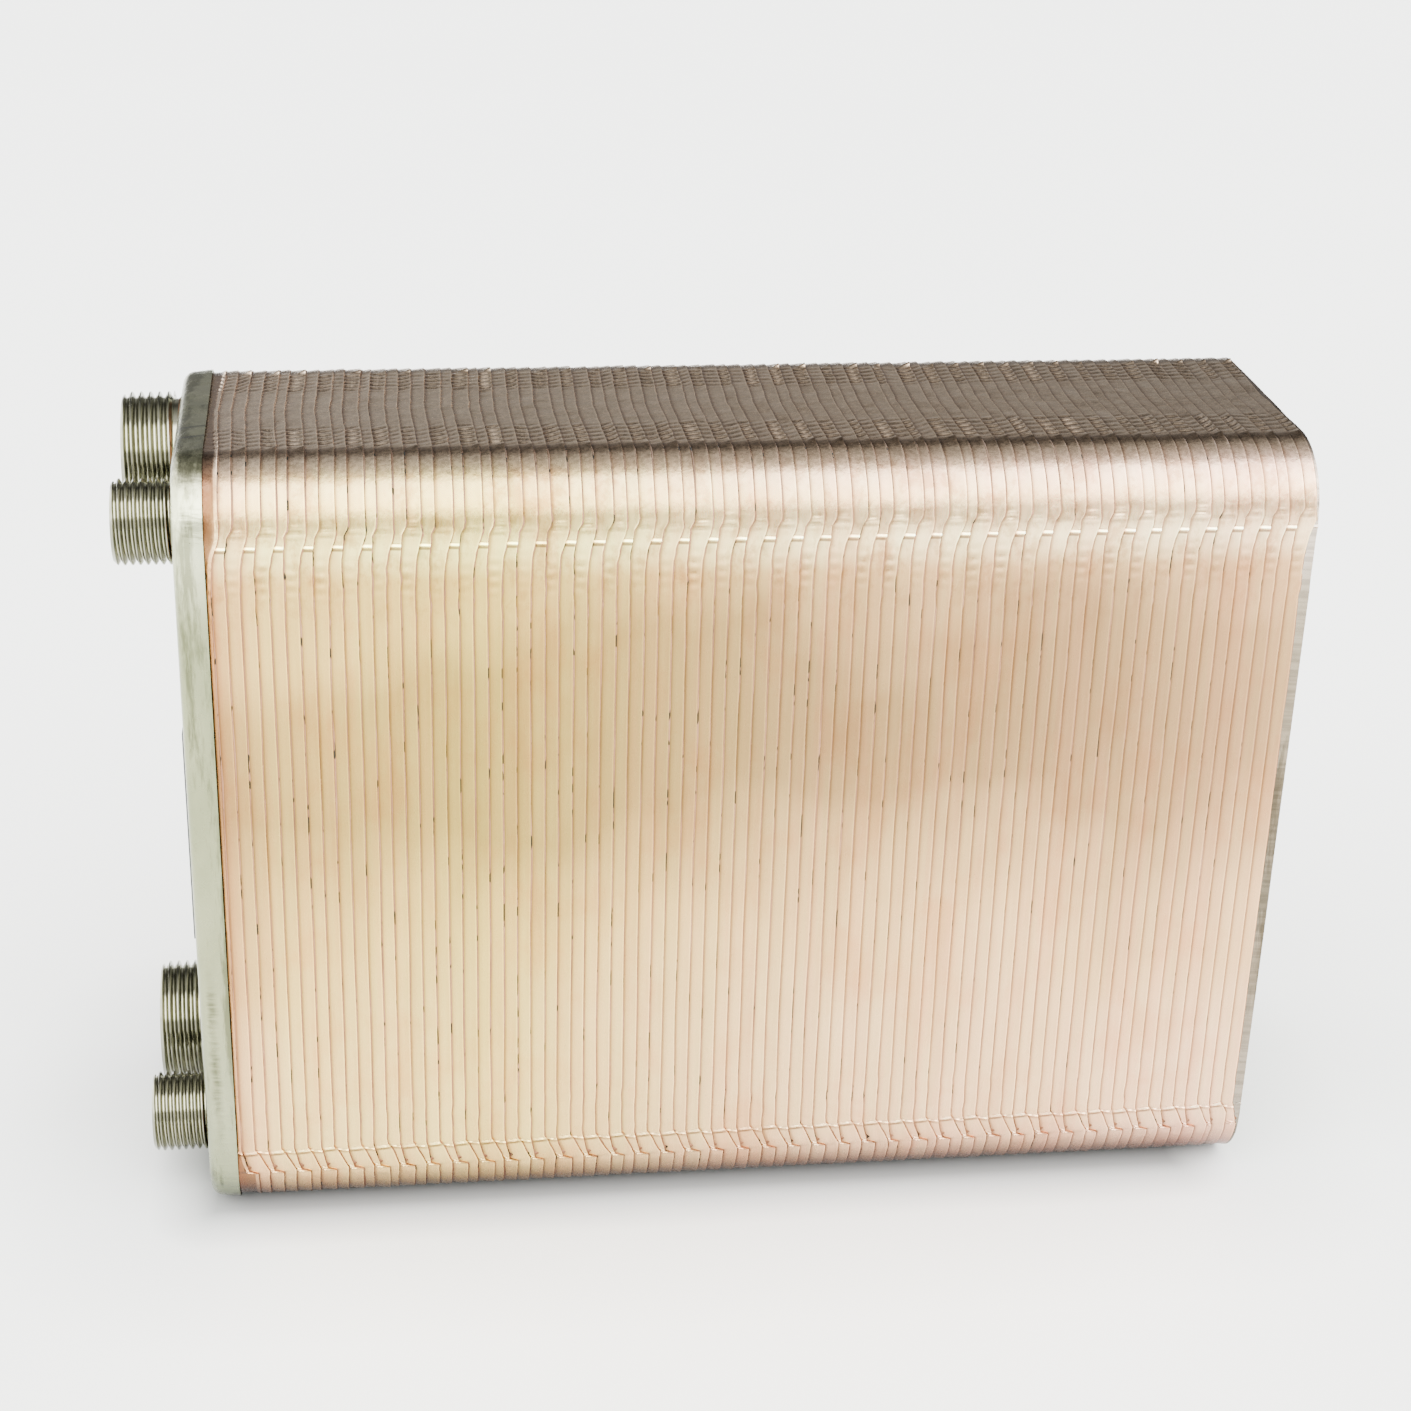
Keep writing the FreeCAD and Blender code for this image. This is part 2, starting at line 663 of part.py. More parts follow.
def rating_plate():
    """The blank rating plate on the front cover, between the upper and lower ports."""
    plate = doc.addObject("Part::Box", "rating_plate")
    bind(
        plate,
        Length="dims.label_gauge",
        Width="dims.label_width",
        Height="dims.label_length",
        Placement__Base__x=f"{COVER_FACE_X} - dims.nest_gap - dims.label_gauge",
        Placement__Base__y="-dims.label_width / 2",
        Placement__Base__z="dims.label_rise - dims.label_length / 2",
    )
    return plate


# ---------------------------------------------------------------- checks


def check(objects, parts):
    """Stops if anything failed to compute, or if a cut took nothing away."""
    for item in objects:
        if "Invalid" in item.State or "Error" in item.State:
            raise RuntimeError(f"{item.Name} failed: {item.State}")
    for item in objects:
        if item.isDerivedFrom("PartDesign::Pocket") or item.isDerivedFrom("PartDesign::Groove"):
            if item.Shape.Volume >= item.BaseFeature.Shape.Volume - 1e-3:
                raise RuntimeError(f"{item.Name} cut nothing")
    for part in parts:
        if part.Shape.isNull() or not part.Shape.isValid():
            raise RuntimeError(f"{part.Label} is not a valid shape")
        if not part.Shape.Solids:
            raise RuntimeError(f"{part.Label} has no solid")


def main():
    parts = [
        front_cover(),
        front_frame_plate(),
        front_sealing_plate(),
        *channel_pairs(),
        rear_cover(),
        rear_frame_plate(),
        *ports(),
        copper_seams(),
        rating_plate(),
    ]
    doc.recompute()
    check(doc.Objects, parts)
    os.makedirs("parts", exist_ok=True)
    for part in parts:
        part.Shape.exportStep(f"parts/{part.Label}.step")
        box = part.Shape.BoundBox
        print(
            f"{part.Label}: {len(part.Shape.Solids)} solids, {part.Shape.Volume:.1f} mm3,"
            f" x {box.XMin:.2f} {box.XMax:.2f}, y {box.YMin:.2f} {box.YMax:.2f},"
            f" z {box.ZMin:.2f} {box.ZMax:.2f}"
        )


dims = add_dimensions()
main()
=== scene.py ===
import bmesh
import bpy
import math
import numpy as np
from collections import namedtuple
from mathutils import Matrix, Vector

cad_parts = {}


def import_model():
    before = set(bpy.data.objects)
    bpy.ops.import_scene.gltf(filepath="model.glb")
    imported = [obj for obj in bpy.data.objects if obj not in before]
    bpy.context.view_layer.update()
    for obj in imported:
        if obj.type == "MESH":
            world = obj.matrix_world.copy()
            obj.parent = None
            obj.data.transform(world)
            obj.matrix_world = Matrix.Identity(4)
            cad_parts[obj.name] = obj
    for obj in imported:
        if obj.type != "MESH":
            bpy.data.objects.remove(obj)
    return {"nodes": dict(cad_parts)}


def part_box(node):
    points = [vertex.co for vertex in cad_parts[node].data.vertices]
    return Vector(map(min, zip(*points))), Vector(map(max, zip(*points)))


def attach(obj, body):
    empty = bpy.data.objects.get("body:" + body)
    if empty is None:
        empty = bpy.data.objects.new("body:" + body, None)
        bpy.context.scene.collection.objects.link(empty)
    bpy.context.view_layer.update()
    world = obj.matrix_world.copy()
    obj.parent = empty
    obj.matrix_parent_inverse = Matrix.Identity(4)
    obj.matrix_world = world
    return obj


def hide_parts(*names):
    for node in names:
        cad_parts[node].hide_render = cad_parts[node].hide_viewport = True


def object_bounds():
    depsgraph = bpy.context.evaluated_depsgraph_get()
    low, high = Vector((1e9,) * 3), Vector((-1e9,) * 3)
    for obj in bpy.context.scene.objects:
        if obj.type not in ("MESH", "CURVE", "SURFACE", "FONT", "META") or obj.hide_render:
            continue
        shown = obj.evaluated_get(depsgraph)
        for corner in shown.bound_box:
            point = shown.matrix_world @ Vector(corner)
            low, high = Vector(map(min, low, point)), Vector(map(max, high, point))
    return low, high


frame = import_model()
cad_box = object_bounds()

MM = 0.001
TURN = 2 * math.pi
random = np.random.default_rng(7)


def corners_of(node):
    """The low and the high corner of a node's box."""
    low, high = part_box(node)
    return np.array(low), np.array(high)


# ---------------------------------------------------------------- the frame's sizes

PAIRS = sorted(name for name in frame["nodes"] if name.startswith("channel_pair"))
PORTS = ["upper_near", "upper_far", "lower_near", "lower_far"]
PLATES = 2 * len(PAIRS)

first_low, first_high = corners_of(PAIRS[0])
last_high = corners_of(PAIRS[-1])[1]
cover_low, cover_high = corners_of("front_cover")
rear_high = corners_of("rear_cover")[1]

PITCH = (last_high[0] - first_high[0]) / (PLATES - 2)
SEAM_X = first_high[0] - 2 * PITCH
DEPTH = PITCH - (first_low[0] - SEAM_X)
HALF_W = first_high[1]
HALF_L = (first_high[2] - first_low[2]) / 2
MID_Z = (first_high[2] + first_low[2]) / 2
SEAM_LEAD = SEAM_X - cover_high[0]

# the sizes that the boxes don't show
CORNER = 18.3 * MM
SHEET = 0.35 * MM
COVER_GAUGE = 0.4 * MM
NEST_GAP = 0.03 * MM
STEP = SHEET + NEST_GAP

FLAT = HALF_L - CORNER
ARC = CORNER * math.pi / 2
HALF_SHORT = HALF_W - CORNER


# ---------------------------------------------------------------- curves


def smooth(x, start, end):
    """0 before start, 1 after end and an easy curve between them."""
    t = np.clip((x - start) / (end - start), 0, 1)
    return t * t * (3 - 2 * t)


def hump(x, middle, reach):
    """A smooth bump one high, reach to each side of its middle."""
    return np.clip(1 - ((x - middle) / reach) ** 2, 0, None) ** 2


def wander(count, size, spacing):
    """A smooth random curve of count samples, closed on itself."""
    knots = max(int(count / spacing), 3)
    values = random.normal(0, size, knots)
    at = np.arange(count) / count * knots
    low = np.floor(at).astype(int) % knots
    t = smooth(at - np.floor(at), 0, 1)
    return values[low] * (1 - t) + values[(low + 1) % knots] * t


# ---------------------------------------------------------------- the plates' outline


class Outline:
    """Samples of a plate's rounded outline, the same for every plate.

    y, z and the outward normal describe the free edge of a skirt. up and low
    are the distances along the outline from the nearest upper and lower end of
    a long flat side, positive on that side. short is the distance from the
    nearest end of a short flat side, positive on it and negative off it.
    """

    def __init__(self):
        quarter = self.quarter()
        y, z, ny, nz = np.array([self.place(s) for s in quarter]).T
        end = FLAT - quarter
        short = quarter - FLAT - ARC
        far = np.full(len(quarter), 1.0)
        # upper near, upper far, lower far, lower near: round the plate once
        self.y = np.concatenate([-y, y[::-1], y, -y[::-1]])
        self.z = np.concatenate([z, z[::-1], -z, -z[::-1]]) + MID_Z
        self.ny = np.concatenate([-ny, ny[::-1], ny, -ny[::-1]])
        self.nz = np.concatenate([nz, nz[::-1], -nz, -nz[::-1]])
        self.up = np.concatenate([end, end[::-1], far, far])
        self.low = np.concatenate([far, far, end, end[::-1]])
        self.short = np.concatenate([short, short[::-1], short, short[::-1]])
        self.count = len(self.y)

    @staticmethod
    def quarter():
        """Distances along a quarter of the outline, closer together where the sheet is creased."""
        calm = np.linspace(0.4 * MM, FLAT - 20 * MM, 24, endpoint=False)
        wavy = np.linspace(FLAT - 20 * MM, FLAT - 7 * MM, 34, endpoint=False)
        creased = np.linspace(FLAT - 7 * MM, FLAT + 7 * MM, 56, endpoint=False)
        bend = np.linspace(FLAT + 7 * MM, FLAT + ARC, 12, endpoint=False)
        crinkled = np.linspace(FLAT + ARC, FLAT + ARC + HALF_SHORT - 0.3 * MM, 72)
        return np.concatenate([calm, wavy, creased, bend, crinkled])

    @staticmethod
    def place(s):
        """y, z and the outward normal, s along a quarter that starts halfway up a long side."""
        if s < FLAT:
            return HALF_W, s, 1, 0
        if s < FLAT + ARC:
            turn = (s - FLAT) / CORNER
            ny, nz = math.cos(turn), math.sin(turn)
            return HALF_SHORT + CORNER * ny, FLAT + CORNER * nz, ny, nz
        return HALF_SHORT - (s - FLAT - ARC), HALF_L, 0, 1


outline = Outline()


# ---------------------------------------------------------------- the seams

# (distance from the end of the flat side, shift towards the rear), in mm
UPPER_EVEN = [(-57, 1.2), (-40, 1.8), (-29, 2.2), (-3.3, 2.2), (-1.4, 1.84), (0, 1.36)]
UPPER_EVEN += [(2.2, 0.72), (5.5, 0.24), (11, 0)]
UPPER_ODD = [(-57, 1.2), (-40, 1.8), (-29, 2.1), (-5.5, 2.06), (-4.4, 1.84), (-2.8, 0.9)]
UPPER_ODD += [(-1.4, 0.7), (0, 0.48), (3, 0.1), (6, 0)]
LOWER_ODD = [(-57, 3.0), (-29, 3.6), (-2.8, 3.6), (3.2, 0.8), (4.0, 0.1), (6, 0)]
LOWER_EVEN = [(-57, 3.0), (-29, 3.9), (-3.7, 3.9), (-2.9, 1.6), (-1.5, 1.3), (0, 0.9), (3.2, 0.2), (3.9, 0)]
OFF_THIS_END = 0.99

UPPER_DASH = 0
LOWER_DASH = 3.2 * MM
LAST_SHIFT = 1.9 * MM
LEAST_STRIP = 0.25 * MM


def shift_at(distance, line):
    """A seam's shift near one end of the flat sides, and none at the other end."""
    places, shifts = zip(*line)
    return np.interp(distance / MM, places, shifts) * (distance < OFF_THIS_END)


def seam_shift(n):
    """How far a seam runs towards the rear near the corners, where skirts are deeper."""
    upper = UPPER_ODD if n % 2 else UPPER_EVEN
    lower = LOWER_ODD if n % 2 else LOWER_EVEN
    return (shift_at(outline.up, upper) + shift_at(outline.low, lower)) * MM


def seams():
    """The place along the stack of every seam, one row for each, at each sample."""
    rows = []
    near_corner = smooth(-np.minimum(outline.up, outline.low), -3 * MM, 6 * MM)
    for n in range(PLATES + 1):
        shift = seam_shift(n)
        if n > PLATES - 3:
            shift = np.minimum(shift, LAST_SHIFT)
        uneven = wander(outline.count, 0.07 * MM, 9) + random.normal(0, 0.06 * MM)
        jog = random.normal(0, 0.3 * MM) * near_corner
        rows.append(SEAM_X + n * PITCH + shift + uneven + jog)
    rear = rear_high[0] + wander(outline.count, 0.05 * MM, 14)
    rows.append(np.maximum(rear, rows[-1] + LEAST_STRIP))
    return rows


SEAMS = seams()


# ---------------------------------------------------------------- mesh helpers


def make_mesh(name, points, faces, attributes=None):
    mesh = bpy.data.meshes.new(name)
    mesh.from_pydata([tuple(p) for p in points], [], faces)
    for key, values in (attributes or {}).items():
        layer = mesh.attributes.new(key, "FLOAT", "POINT")
        layer.data.foreach_set("value", np.asarray(values, dtype=np.float32))
    mesh.validate()
    mesh.update()
    piece = bpy.data.objects.new(name, mesh)
    bpy.context.scene.collection.objects.link(piece)
    return piece


def dress(piece, material, nodes, sharp_angle):
    """Gives a piece its material and its body, and hides the nodes that it stands for."""
    piece.data.materials.append(materials[material])
    for polygon in piece.data.polygons:
        polygon.use_smooth = True
    piece.data.set_sharp_from_angle(angle=math.radians(sharp_angle))
    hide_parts(*nodes)
    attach(piece, "root")


def ring_faces(columns, count):
    """Quads of a closed band: columns of count points each, joined in a ring both ways."""
    faces = []
    for c in range(columns):
        here = c * count
        after = (c + 1) % columns * count
        for s in range(count):
            t = (s + 1) % count
            faces.append((here + s, here + t, after + t, after + s))
    return faces


def on_outline(x, height):
    """Points at x along the stack and height outside the edge of a skirt."""
    y = outline.y + outline.ny * height
    z = outline.z + outline.nz * height
    return np.stack([np.broadcast_to(x, y.shape), y, z], axis=1)


def on_circle(x, middle, radius, turn):
    """Points at x along the stack, on a circle round a connector's axis."""
    y = middle[1] + radius * np.cos(turn)
    z = middle[2] + radius * np.sin(turn)
    return np.stack([np.broadcast_to(x, y.shape), y, z], axis=1)


def join(parts):
    """Joins (points, faces, marks) parts into one."""
    points, faces, marks = [], [], []
    start = 0
    for part_points, part_faces, part_marks in parts:
        points.append(part_points)
        faces += [tuple(v + start for v in face) for face in part_faces]
        marks.append(part_marks)
        start += len(part_points)
    return np.concatenate(points), faces, np.concatenate(marks)


def weld(piece):
    """Joins points that coincide and turns the faces outwards."""
    shape = bmesh.new()
    shape.from_mesh(piece.data)
    bmesh.ops.remove_doubles(shape, verts=shape.verts, dist=0.001 * MM)
    bmesh.ops.recalc_face_normals(shape, faces=shape.faces)
    shape.to_mesh(piece.data)
    shape.free()


# ---------------------------------------------------------------- the creases of the pressed plates

STRIPS = PLATES + 2
EVERY_SECOND = np.arange(STRIPS) % 2 == 0

DASH_JOG = random.normal(0, 0.16 * MM, STRIPS)
RIPPLE_SIZE = random.uniform(0.3, 1.15, STRIPS)
CRINKLE_SLANT = random.normal(0, 1.1 * MM, STRIPS)
TAB_SIZE = random.uniform(0.1, 1.2, STRIPS) * EVERY_SECOND
BEND_WAVES = [wander(outline.count, 0.09 * MM, 22) for _ in range(STRIPS)]
CRINKLE_SIZE = random.uniform(0.6, 1.05, STRIPS)
CRINKLE_START = random.uniform(-0.9, 0.9, STRIPS)
DENTS = [wander(outline.count, 0.025 * MM, 6) for _ in range(STRIPS)]

UPPER_RIPPLE = 2.9 * MM
PUCKER = 1.9 * MM
KNOT_WAVE = 0.9 * MM
CRINKLE = 2.8 * MM

# Each function below gives the height of one kind of fold on plate n's visible strip, t of the way across
# it,
# and its crease: 1, a painted highlight on top of a fold, and -1, painted shade in the bottom of one.


def upper_dash(n, t):
    """The short level fold where an odd plate's long side ends, with painted shade below it and a little
    above it.
    """
    up = outline.up
    height = 0.42 * MM * hump(up, UPPER_DASH, 0.45 * MM)
    # painted highlight on the fold, and painted shade just below it and a little above it, where the height
    # has no hollow
    crease = hump(up, UPPER_DASH, 0.5 * MM) - 1.4 * hump(up, UPPER_DASH + 0.75 * MM, 0.5 * MM)
    below = 0.5 * hump(up, UPPER_DASH + 2.2 * MM, 2.4 * MM) * (1 - t)
    above = 0.4 * hump(up, UPPER_DASH - 2.2 * MM, 1.8 * MM) * t
    return height, crease - (below + above) * RIPPLE_SIZE[n]


def lower_dash_odd(n, t):
    """The slightly slanted fold at the lower corner of an odd plate."""
    row = LOWER_DASH + DASH_JOG[n] + 0.5 * MM * (t - 0.5)
    fade = 0.45 + 0.95 * hump(t, 0.5, 0.6)
    height = 0.45 * MM * hump(outline.low, row, 0.55 * MM) * smooth(t, 0.0, 0.5)
    crease = 0.75 * hump(outline.low, row, 0.5 * MM)
    # painted shade just below the fold, where the height has no hollow
    crease = crease - 0.8 * hump(outline.low, row - 0.75 * MM, 0.45 * MM)
    return height, crease * fade


def lower_dash_even(n, t):
    """The fold at the lower corner of an even plate, slanted the other way."""
    row = LOWER_DASH - 0.25 * MM + DASH_JOG[n] - 0.4 * MM * (t - 0.5)
    fade = 0.25 + 0.75 * hump(t, 0.4, 0.6)
    height = 0.4 * MM * hump(outline.low, row, 0.5 * MM)
    crease = 0.6 * hump(outline.low, row, 0.5 * MM)
    # painted shade just below the fold, where the height has no hollow
    crease = crease - 0.6 * hump(outline.low, row - 0.75 * MM, 0.45 * MM)
    return height, crease * fade


def ripples(n, t):
    """The shallow ripples of an even plate on the flat side and on the bend above it."""
    middle = hump(t, 0.5, 0.62) * RIPPLE_SIZE[n]
    ripple = np.sin(TURN * outline.up / UPPER_RIPPLE + 1.4 * math.sin(2.3 * n))
    rippled = ripple * hump(outline.up, 8 * MM, 8 * MM) * middle
    pucker = np.sin(TURN * outline.up / PUCKER + n)
    puckered = pucker * hump(outline.up, -4 * MM, 3 * MM) * middle
    return 0.14 * MM * rippled + 0.09 * MM * puckered, 0.4 * rippled + 0.4 * puckered


def lower_knot(n, t):
    """The crumpled knot below the lower fold of an even plate."""
    knot = hump(outline.low, -2.6 * MM, 1.3 * MM) * hump(t, 0.55, 0.6)
    wave = np.sin(TURN * outline.low / KNOT_WAVE + 7 * t)
    return 0.5 * MM * knot * (1 + 0.6 * wave), 1.2 * knot * wave


def crinkles(n, t):
    """The folds across the short side, stronger on the even plates."""
    reach = outline.short
    slant = CRINKLE_SLANT[n] * (t - 0.5)
    fold = 2 * np.abs(np.sin(math.pi * (reach + slant) / CRINKLE + CRINKLE_START[n])) - 1.2
    zone = smooth(reach, 0, 2 * MM) * (1 - smooth(reach, 12 * MM, 17 * MM))
    zone = zone * (0.15 + 0.85 * hump(t, 0.5, 0.62)) * CRINKLE_SIZE[n]
    zone = zone * (0.35 if n % 2 else 1.0)
    return 0.34 * MM * fold * zone, np.where(fold > 0, 0.5, 1.2) * fold * zone


def tab(n, t):
    """The small tab that stands up where the bend ends, lower on the near side."""
    side = np.where(outline.y > 0, 1.0, 0.5)
    size = TAB_SIZE[n] * side * hump(outline.short, 0.2 * MM, 1.1 * MM) * smooth(t, 0.3, 1)
    return 0.9 * MM * size, -0.8 * size


ODD_FOLDS = [upper_dash, lower_dash_odd, crinkles, tab]
EVEN_FOLDS = [ripples, lower_dash_even, lower_knot, crinkles, tab]


def surface_height(n, t):
    """The outside of plate n's visible strip, t of the way across it, and its creases."""
    off_flat = smooth(-np.minimum(outline.up, outline.low), -2 * MM, 4 * MM)
    waves = BEND_WAVES[n] * off_flat * (0.4 + 0.6 * hump(t, 0.5, 0.62))
    dents = DENTS[n] * hump(t, 0.5, 0.7)
    lip = 0.03 * MM * smooth(t, 0.9, 1.0)
    folds = [fold(n, t) for fold in (ODD_FOLDS if n % 2 else EVEN_FOLDS)]
    height = -STEP * (1 - t) + waves + sum(height for height, _ in folds) + dents + lip
    return height, np.clip(sum(crease for _, crease in folds), -1, 1)


# ---------------------------------------------------------------- the pressed plates

ACROSS = [0, 0.05, 0.15, 0.3, 0.5, 0.7, 0.85, 0.94, 1]
COVERED = -1.0
HIDDEN = 1.2
RIM = 1.7 * MM


def skirt(n, base_x, depth, gauge):
    """The skirt of plate n as a closed band: points, faces and marks.

    The marks of a point are its place across the visible strip, from 0 to 1, and
    how creased the sheet is there, which the material paints as highlight and shade.
    """
    before = SEAMS[n - 1] if n else SEAMS[0] - SEAM_LEAD
    width = SEAMS[n] - before
    flare = STEP / PITCH
    root = -flare * depth
    calm = np.zeros(outline.count)
    columns = [
        (base_x + calm, root + calm, COVERED, calm),
        (before - 0.35 * width, -1.35 * STEP + calm, -0.35, calm),
    ]
    for t in ACROSS:
        height, crease = surface_height(n, t)
        columns.append((before + t * width, height, t, crease))
    for t in (1.0, 0.0):
        columns.append((before + t * width, calm - STEP * (1 - t) - gauge, HIDDEN, calm))
    columns.append((base_x + gauge + calm, root + flare * gauge - gauge + calm, HIDDEN, calm))
    points = np.concatenate([on_outline(x, height) for x, height, _, _ in columns])
    across = np.concatenate([np.full(outline.count, t) for _, _, t, _ in columns])
    creases = np.concatenate([crease for _, _, _, crease in columns])
    return points, ring_faces(len(columns), outline.count), np.stack([across, creases], axis=1)


def pressing(node, plate_bases):
    """The parts of a node inside its skirts: the pressed bases, ridges and collars."""
    mesh = frame["nodes"][node].data
    points = np.array([v.co for v in mesh.vertices])
    faces = []
    for polygon in mesh.polygons:
        corners = points[list(polygon.vertices)]
        away_y = np.abs(corners[:, 1]) - (HALF_SHORT - RIM)
        away_z = np.abs(corners[:, 2] - MID_Z) - (FLAT - RIM)
        round_corner = np.hypot(np.clip(away_y, 0, None), np.clip(away_z, 0, None))
        outside = np.maximum(round_corner, np.maximum(away_y, away_z)) > CORNER
        level = np.ptp(corners[:, 0]) < 0.1 * SHEET
        on_base = min(abs(corners[:, 0].mean() - x) for x in plate_bases) < 0.2 * SHEET
        if not outside.any() or (level and on_base):
            faces.append(tuple(polygon.vertices))
    used = sorted({v for face in faces for v in face})
    new = {old: k for k, old in enumerate(used)}
    faces = [tuple(new[v] for v in face) for face in faces]
    marks = np.stack([np.full(len(used), COVERED), np.zeros(len(used))], axis=1)
    return points[used], faces, marks


def sheet_piece(name, parts, material, node):
    """A piece of pressed sheet from its parts, in place of a node."""
    points, faces, marks = join(parts)
    piece = make_mesh(name, points, faces, {"strip": marks[:, 0], "crease": marks[:, 1]})
    dress(piece, material, [node], 50)


def plate_pair(index, node):
    """Both channel plates of a pair, with creased skirts."""
    numbers = (2 * index + 1, 2 * index + 2)
    bases = [SEAM_X + n * PITCH - DEPTH for n in numbers]
    parts = [skirt(n, base, DEPTH, SHEET) for n, base in zip(numbers, bases)]
    faces_of_sheet = bases + [base + SHEET for base in bases]
    parts.append(pressing(node, faces_of_sheet))
    sheet_piece(f"plates_{index + 1:02d}", parts, "brazed_sheet", node)


def edge_tray(name, n, node, gauge, material):
    """The first or the last tray, whose skirt shows as strip n."""
    low, high = corners_of(node)
    parts = [skirt(n, low[0], high[0] - low[0], gauge), pressing(node, [low[0], low[0] + gauge])]
    sheet_piece(name, parts, material, node)


# ---------------------------------------------------------------- copper beads

BEADS_IN_A_PIECE = 10
# (across, up) as shares of a bead's width and rise
BEAD_SECTION = [(-0.3, -0.1), (0, 0.9), (0.3, 0.95), (0.7, 0.5), (1.0, 0.0), (0.4, -0.2)]


def bead(n):
    """The copper along the edge of plate n, lying on the skirt of the next plate."""
    width = MM * (0.42 + wander(outline.count, 0.1, 3) + wander(outline.count, 0.08, 12))
    width = np.clip(width, 0.12 * MM, None)
    knot = hump(outline.low, -1.5 * MM, 0.8 * MM) * EVERY_SECOND[n]
    rise = np.clip(0.2 + wander(outline.count, 0.05, 4), 0.06, 0.3)
    on_short = smooth(outline.short, -4 * MM, 1 * MM)
    width = (width + 0.9 * MM * knot) * (1 - 0.5 * on_short)
    rise = MM * (rise + 0.2 * knot) * (1 - 0.85 * on_short)
    ground = -STEP - NEST_GAP
    columns = [on_outline(SEAMS[n] + a * width, ground + b * rise) for a, b in BEAD_SECTION]
    points = np.concatenate(columns)
    return points, ring_faces(len(columns), outline.count), np.zeros(len(points))


def copper_beads():
    """All the beads, in a few pieces."""
    total = PLATES + 1
    for first in range(0, total, BEADS_IN_A_PIECE):
        last = min(first + BEADS_IN_A_PIECE, total)
        points, faces, _ = join([bead(n) for n in range(first, last)])
        piece = make_mesh(f"copper_beads_{first // BEADS_IN_A_PIECE + 1}", points, faces)
        dress(piece, "copper", ["copper_seams"], 60)


# ---------------------------------------------------------------- connectors

ROUND = 144
PER_TURN = 14
CHAMFER = 1 * MM
MOUTH = 0.5 * MM
FLANGE_GAUGE = 1.5 * MM

Thread = namedtuple("Thread", "radius pitch depth turns neck bore flange")
G_HALF = Thread(10.4775 * MM, 1.8143 * MM, 1.162 * MM, 8, 9.2 * MM, 7.5 * MM, 13 * MM)
G_ONE = Thread(16.6245 * MM, 2.3091 * MM, 1.479 * MM, 6, 14.8 * MM, 12.5 * MM, 15.8 * MM)


def thread_of(port):
    return G_HALF if "near" in port else G_ONE


def thread_form(phase):
    """How deep the thread is cut at a phase of its pitch, from 0 on a crest to 1 at the root."""
    away = np.abs((phase % 1) - 0.5) * 2
    return np.clip((1 - away - 0.17) / 0.7, 0, 1)


def thread_rows(thread, tip, end, turn):
    """(x, radius, cut) of the lines that wind along the thread, each a full turn."""
    rows = []
    wound = (turn - turn[0]) / TURN
    for k in range(-PER_TURN, int((end - tip) / thread.pitch * PER_TURN) + 2):
        x = np.clip(tip + (k / PER_TURN + wound) * thread.pitch, tip, end)
        cut = thread_form(k / PER_TURN)
        chamfered = thread.radius - CHAMFER + (x - tip)
        rows.append((x, np.minimum(thread.radius - thread.depth * cut, chamfered), cut))
    return rows


def connector(port):
    """A connector with a true helical thread, in place of the plain rings."""
    low, high = corners_of(f"connector_{port}")
    tip, back = low[0], high[0]
    thread = thread_of(port)
    seat = back - FLANGE_GAUGE
    end = tip + CHAMFER + (thread.turns - 1) * thread.pitch + 0.3 * MM
    turn = np.linspace(0, TURN, ROUND + 1) + math.pi / 2
    rows = [(tip + MOUTH, thread.bore, 0.5), (tip, thread.bore + MOUTH, 0)]
    rows += thread_rows(thread, tip, end, turn)
    rows += [(end + 0.1 * MM, thread.neck, 0.9), (seat, thread.neck, 0.9), (seat, thread.flange, 0.2)]
    rows += [(back, thread.flange, 0.2), (back, thread.bore, 0.2)]
    points = np.concatenate([on_circle(x, (low + high) / 2, radius, turn) for x, radius, _ in rows])
    faces = []
    for c in range(len(rows)):
        here = c * (ROUND + 1)
        after = (c + 1) % len(rows) * (ROUND + 1)
        faces += [(here + k, here + k + 1, after + k + 1, after + k) for k in range(ROUND)]
    cuts = np.concatenate([np.full(ROUND + 1, cut) for _, _, cut in rows])
    piece = make_mesh(f"threaded_{port}", points, faces, {"cut": cuts})
    weld(piece)
    dress(piece, "connector_steel", [f"connector_{port}"], 40)


# (along, out) from the foot of the fillet, as shares of its reach
FILLET_SECTION = [(0, 0), (0, 1.0), (0.12, 0.9), (0.35, 0.55), (0.6, 0.3), (0.9, 0.12), (1.0, 0)]
FILLET_REACH = 0.9 * MM


def braze_ring(port):
    """The uneven copper fillet round a connector's neck."""
    node = f"braze_fillet_{port}"
    low, high = corners_of(node)
    inside = thread_of(port).neck + NEST_GAP
    turn = np.linspace(0, TURN, ROUND, endpoint=False)
    uneven = np.clip(1 + wander(ROUND, 0.14, 5), 0.7, 1)
    points = []
    for along, out in FILLET_SECTION:
        x = high[0] - (high[0] - low[0]) * uneven * along
        points.append(on_circle(x, (low + high) / 2, inside + FILLET_REACH * out * uneven, turn))
    faces = ring_faces(len(FILLET_SECTION), ROUND)
    piece = make_mesh(f"braze_ring_{port}", np.concatenate(points), faces)
    dress(piece, "copper", [node], 60)


# ---------------------------------------------------------------- the pieces that keep their meshes


def kept_copy(node, name, material, bevel=0.0):
    """A copy of a node's own mesh, with softened edges where a bevel is given."""
    mesh = frame["nodes"][node].data.copy()
    mesh.materials.clear()
    piece = bpy.data.objects.new(name, mesh)
    bpy.context.scene.collection.objects.link(piece)
    if bevel:
        softened = piece.modifiers.new("softened", "BEVEL")
        softened.width = bevel
        softened.segments = 2
        softened.limit_method = "ANGLE"
    dress(piece, material, [node], 35)


# ---------------------------------------------------------------- a short way to write nodes

WHITE = (1, 1, 1)
BLACK = (0, 0, 0)


def grey(level):
    return (level, level, level)


